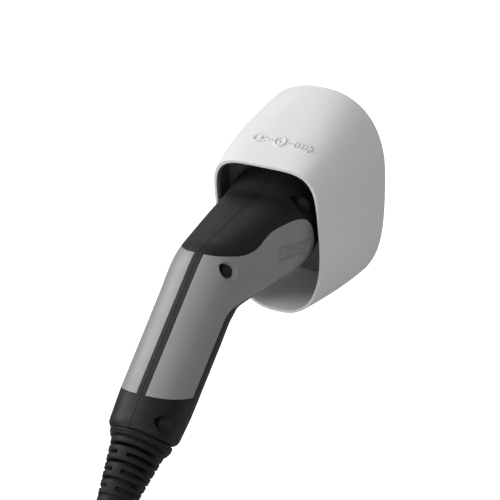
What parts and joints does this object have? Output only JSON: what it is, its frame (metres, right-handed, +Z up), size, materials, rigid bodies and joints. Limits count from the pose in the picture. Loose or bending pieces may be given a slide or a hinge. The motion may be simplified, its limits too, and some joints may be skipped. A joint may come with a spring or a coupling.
{
  "type": "wall holster with electric vehicle charging connector",
  "caption": "Wall-mounted hooded holster holding a pistol-grip vehicle charging connector, plugged into a dummy socket and pulled straight out for use.",
  "frame": {"origin": "centre of the four wall-screw holes, on the wall face", "axes": "+Z up, -Y out of the wall towards the user, +X to the right when facing the wall"},
  "size_m": [0.0984, 0.2701, 0.2073],
  "materials": {
    "shell_white": "fine-textured moulded white plastic",
    "plate_white": "moulded white plastic",
    "cup_black": "moulded black plastic",
    "seal_rubber": "soft black rubber",
    "screw_steel": "zinc-plated steel",
    "handle_black": "fine-textured black moulded plastic",
    "panel_grey": "satin mid-grey moulded plastic",
    "nose_black": "glass-filled black plastic",
    "contact_metal": "silver-plated brass",
    "resistor_body": "lacquered resistor with tinned leads",
    "relief_rubber": "moulded black rubber"
  },
  "bodies": {
    "holster": {"holster_shell": "shell_white", "wall_plate": "plate_white", "socket_cup": "cup_black", "cup_ring": "seal_rubber", "bezel_liner": "cup_black", "cup_screws": "screw_steel", "shell_screws": "screw_steel"},
    "connector": {"handle_shell_right": "handle_black", "handle_shell_left": "handle_black", "grip_panel_right": "panel_grey", "grip_panel_left": "panel_grey", "housing_screws": "screw_steel", "contact_carrier": "nose_black", "power_contacts": "contact_metal", "signal_contacts": "contact_metal", "contact_retainer": "nose_black", "retainer_screws": "screw_steel", "coding_resistor": "resistor_body", "carrier_seal": "seal_rubber", "bend_relief": "relief_rubber", "cable_grommet": "seal_rubber", "cable_clamp": "nose_black", "clamp_screws": "screw_steel"}
  },
  "joints": [
    {"name": "connector_pull", "type": "slide", "parent": "holster", "child": "connector", "axis": [0, -0.9848, -0.1736], "range_m": [0, 0.12]}
  ]
}
